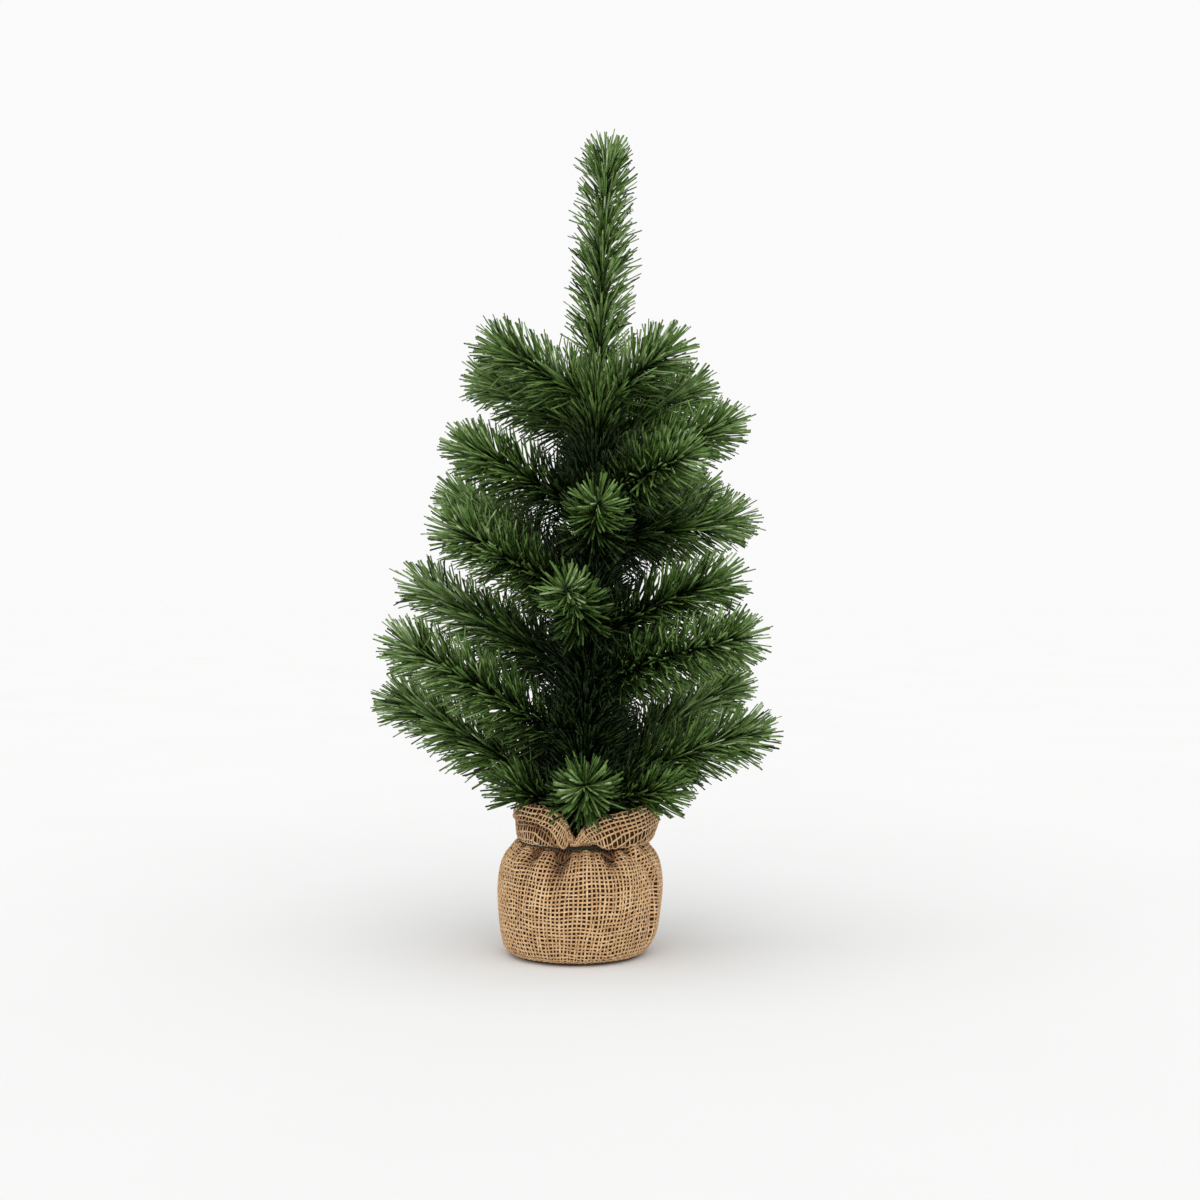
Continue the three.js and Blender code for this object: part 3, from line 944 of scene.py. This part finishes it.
def lathe_piece(name, profile, sides, material, slot, node, wobble=0.0, seed=1):
    """A turned closed piece from a (points, 2) profile that starts and ends near the axis."""
    rng = np.random.default_rng(seed)
    angles = np.arange(sides) / sides * 2 * math.pi
    radius, height = profile[:, 0][:, None], profile[:, 1][:, None]
    bumps = wobble * smooth_noise(rng, (len(profile), sides), 3)
    bumps[:, -1] = bumps[:, 0]
    height = height + bumps * np.minimum(radius / (4 * MM), 1)
    rows = np.stack([radius * np.cos(angles), radius * np.sin(angles), height], axis=-1)
    points, faces = surface_grid(rows)
    caps = [np.arange(sides)[::-1][None], (len(profile) - 1) * sides + np.arange(sides)[None]]
    piece = new_piece(name, points, faces + caps, material, slot)
    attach(piece, ROOT_BODY)
    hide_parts(node)


def build_disc(felt):
    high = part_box("base_disc")[1]
    radius, top = high[0], high[2]
    edge = top / 2
    turn = np.linspace(-math.pi / 2, math.pi / 2, 7)
    rim = np.stack([radius - edge + edge * np.cos(turn), edge + edge * np.sin(turn)], axis=1)
    inner = np.linspace(0.05 * radius, radius - 2 * edge, 12)[:, None]
    profile = np.concatenate([
        np.hstack([inner, 0 * inner]), rim, np.hstack([inner[::-1], 0 * inner + top]),
    ])
    lathe_piece("felt_disc", profile, 96, felt, "base_felt", "base_disc")


def build_pot(plastic):
    low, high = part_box("plastic_pot")
    radius, floor, top = high[0], low[2], high[2]
    foot, bevel = 0.963 * radius, 8 * MM
    bottom = 0.846 * radius
    wall = 1.5 * MM
    turn = np.linspace(0, math.pi, 7)
    lip = np.stack([np.cos(turn), np.sin(turn)], axis=1) * wall / 2 + (radius - wall / 2, top - wall / 2)
    profile = np.concatenate([
        [(3 * MM, floor), (bottom, floor), (foot - 0.5 * MM, floor + bevel - MM), (foot, floor + bevel + MM)],
        lip,
        [(foot - wall, floor + bevel), (bottom - wall, floor + wall), (3 * MM, floor + wall)],
    ])
    lathe_piece("moulded_pot", profile, 96, plastic, "pot_plastic", "plastic_pot")


def build_cement(cement):
    low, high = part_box("cement_weight")
    radius, floor, top = high[0], low[2], high[2]
    across = np.linspace(radius - 1.5 * MM, 0.5 * MM, 22)[:, None]
    profile = np.concatenate([
        [(3 * MM, floor), (0.875 * radius, floor), (0.967 * radius, floor + 6 * MM)],
        [(radius, top - 1.2 * MM)],
        np.hstack([across, 0 * across + top - 0.6 * MM]),
    ])
    lathe_piece("cement_block", profile, 64, cement, "cement", "cement_weight", wobble=0.5 * MM, seed=5)


# ---------------------------------------------------------------- stage

def build_floor():
    """A wide round floor, pale all the way to where it meets the bright surroundings."""
    nodes = Nodes("pale_floor", 0.9, Specular_IOR_Level=0.0)
    tint = nodes.noise(3, 2)
    nodes.link(nodes.ramp(tint, [(0.3, (0.800, 0.800, 0.797)), (0.7, (0.811, 0.811, 0.809))]), "Base Color")
    angles = np.arange(64) / 64 * 2 * math.pi
    radii = np.array([0.01, 1.0, 10.0, 60.0])[:, None]
    rows = np.stack([radii * np.cos(angles), radii * np.sin(angles), 0 * radii * angles], axis=-1)
    points, faces = surface_grid(rows)
    mesh = bpy.data.meshes.new("floor")
    mesh.from_pydata(points.tolist(), [], faces[0].tolist() + [list(range(64))])
    mesh.materials.append(nodes.material)
    floor = bpy.data.objects.new("floor", mesh)
    bpy.context.scene.collection.objects.link(floor)


def add_sun(name, elevation, heading, spread, strength):
    """A soft sun. heading is where it stands, from +X towards +Y; all angles in degrees."""
    light = bpy.data.lights.new(name, "SUN")
    light.angle = math.radians(spread)
    light.energy = strength
    lamp = bpy.data.objects.new(name, light)
    lamp.rotation_euler = (math.radians(90 - elevation), 0, math.radians(heading + 90))
    bpy.context.scene.collection.objects.link(lamp)


def build_lights():
    add_sun("key", 60, 267, 100, 1.75)
    add_sun("front_fill", 20, 272, 60, 0.45)
    world = bpy.data.worlds.new("studio")
    world.use_nodes = True
    background = world.node_tree.nodes["Background"]
    background.inputs["Color"].default_value = (1, 1, 1, 1)
    background.inputs["Strength"].default_value = 0.655
    bright = world.node_tree.nodes.new("ShaderNodeBackground")
    bright.inputs["Color"].default_value = (1, 1, 1, 1)
    bright.inputs["Strength"].default_value = 0.96
    seen = world.node_tree.nodes.new("ShaderNodeLightPath")
    either = world.node_tree.nodes.new("ShaderNodeMixShader")
    world.node_tree.links.new(seen.outputs["Is Camera Ray"], either.inputs[0])
    world.node_tree.links.new(background.outputs[0], either.inputs[1])
    world.node_tree.links.new(bright.outputs[0], either.inputs[2])
    world.node_tree.links.new(either.outputs[0], world.node_tree.nodes["World Output"].inputs[0])
    bpy.context.scene.world = world


def build_camera():
    """Level with the lower third of the tree, a little to the right of its foot."""
    camera = bpy.data.cameras.new("camera")
    camera.sensor_width = 36
    camera.lens = 50
    view = bpy.data.objects.new("camera", camera)
    view.location = (0.0165, -1.2185, 0.2577)
    view.rotation_euler = (math.pi / 2, 0, 0)
    bpy.context.scene.collection.objects.link(view)
    bpy.context.scene.camera = view


# ---------------------------------------------------------------- the tree

def build_tree():
    needles, wire = needle_material(), wire_material()
    branches = [body for body in frame["bodies"] if body.startswith("branch_")]
    for number, body in enumerate(sorted(branches), start=1):
        build_branch(body, number, needles, wire)
    build_leader(needles, wire)
    build_trunk_needles(TRUNK, needles)
    build_trunk_tape(TRUNK, tape_material())
    rod = frame["nodes"]["trunk_rod"]
    rod.data.materials.clear()
    rod.data.materials.append(steel_material())
    build_sack(SACK, burlap_material())
    build_shade_lining(SACK, shade_lining_material())
    build_tie(SACK, twine_material())
    build_disc(felt_material())
    build_pot(pot_material())
    build_cement(cement_material())


TRUNK = Trunk()
SACK = Cloth()
build_camera()
build_lights()
build_floor()
build_tree()
bpy.context.scene.view_settings.view_transform = "Standard"
